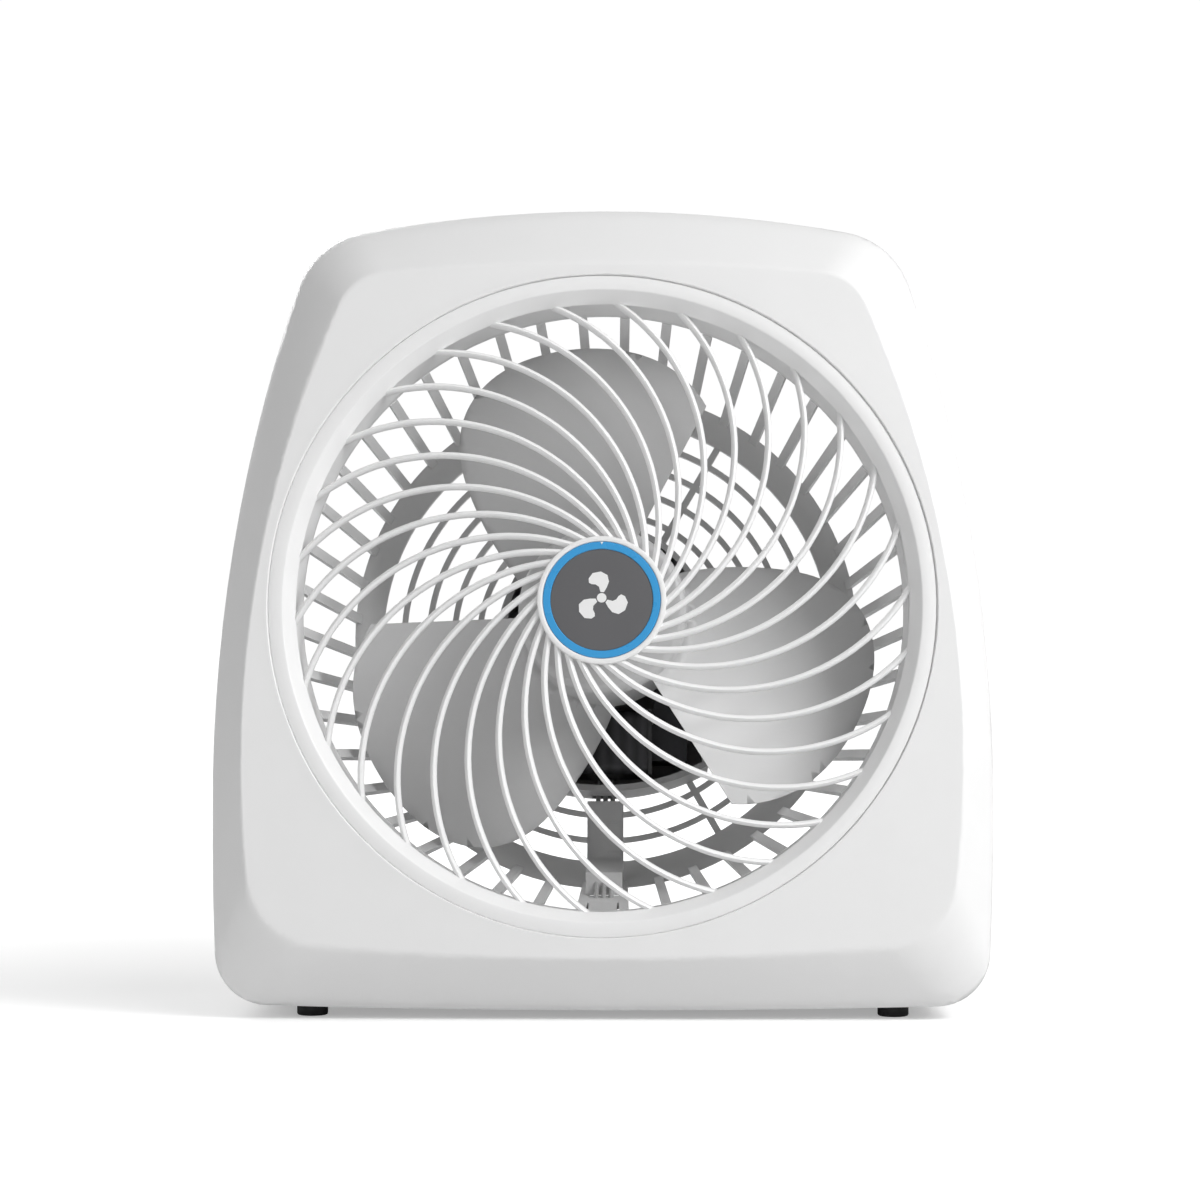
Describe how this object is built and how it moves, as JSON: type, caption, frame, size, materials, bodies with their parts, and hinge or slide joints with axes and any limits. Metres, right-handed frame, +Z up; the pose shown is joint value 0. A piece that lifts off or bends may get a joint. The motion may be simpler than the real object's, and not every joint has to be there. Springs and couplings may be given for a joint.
{
  "type": "box fan",
  "caption": "Small tabletop box fan: rounded leaning plastic housing, spiral front grille with round badge, paddle impeller on a mains motor, slatted rear grille, rear speed knob, rubber feet.",
  "frame": {"origin": "centre of the footprint, on the surface that the rubber feet rest on", "axes": "+Z up, +Y from the grille face to the back panel, +X to the right as seen from the front"},
  "size_m": [0.246, 0.1156, 0.2565],
  "materials": {
    "housing_plastic": "fine satin moulded",
    "grille_plastic": "satin moulded",
    "badge_blue": "satin",
    "badge_grey": "satin",
    "rear_plastic": "fine satin moulded",
    "blade_plastic": "satin moulded",
    "cradle_plastic": "satin moulded",
    "core_steel": "varnished laminations",
    "bobbin_plastic": "moulded",
    "coil_tape": "taped winding",
    "copper": "drawn",
    "bracket_alloy": "die cast",
    "bronze": "sintered",
    "felt": "felt",
    "washer_plastic": "moulded",
    "rotor_steel": "turned",
    "shaft_steel": "ground",
    "screw_steel": "zinc plated",
    "switch_plastic": "moulded",
    "knob_plastic": "satin moulded",
    "grommet_plastic": "moulded",
    "wire_pvc": "flexible insulation",
    "splice_plastic": "moulded",
    "rubber": "matt"
  },
  "bodies": {
    "housing": {"front_housing": "housing_plastic", "rear_housing": "rear_plastic", "grille_rim": "grille_plastic", "grille_hub": "grille_plastic", "grille_bars": "grille_plastic", "badge_ring": "badge_blue", "badge_disc": "badge_grey", "rear_flange": "rear_plastic", "rear_slats": "rear_plastic", "rear_band": "rear_plastic", "rear_rings": "rear_plastic", "wire_channel": "rear_plastic", "motor_cradle": "cradle_plastic", "stator_core": "core_steel", "core_bar": "core_steel", "coil_bobbin": "bobbin_plastic", "stator_coil": "coil_tape", "shading_rings": "copper", "front_bracket": "bracket_alloy", "rear_bracket": "bracket_alloy", "front_bushing": "bronze", "rear_bushing": "bronze", "oil_felt": "felt", "motor_screws": "screw_steel", "cradle_screws": "screw_steel", "housing_screws": "screw_steel", "grille_screws": "screw_steel", "speed_switch": "switch_plastic", "switch_nut": "screw_steel", "cord_inlet": "grommet_plastic", "motor_leads": "wire_pvc", "supply_leads": "wire_pvc", "wire_splice": "splice_plastic", "front_feet": "rubber", "rear_feet": "rubber"},
    "fan_rotor": {"impeller": "blade_plastic", "spinner_nut": "blade_plastic", "cross_pin": "shaft_steel", "motor_shaft": "shaft_steel", "rotor": "rotor_steel", "thrust_washers": "washer_plastic"},
    "knob": {"speed_knob": "knob_plastic", "switch_spindle": "switch_plastic"}
  },
  "joints": [
    {"name": "impeller_spin", "type": "hinge", "parent": "housing", "child": "fan_rotor", "pos_m": [0, -0.04201, 0.1305], "axis": [0, -0.9898, 0.1426], "continuous": true},
    {"name": "knob_turn", "type": "hinge", "parent": "housing", "child": "knob", "pos_m": [0.09, 0.03999, 0.031], "axis": [0, 1, 0], "range_deg": [-90, 0]}
  ]
}
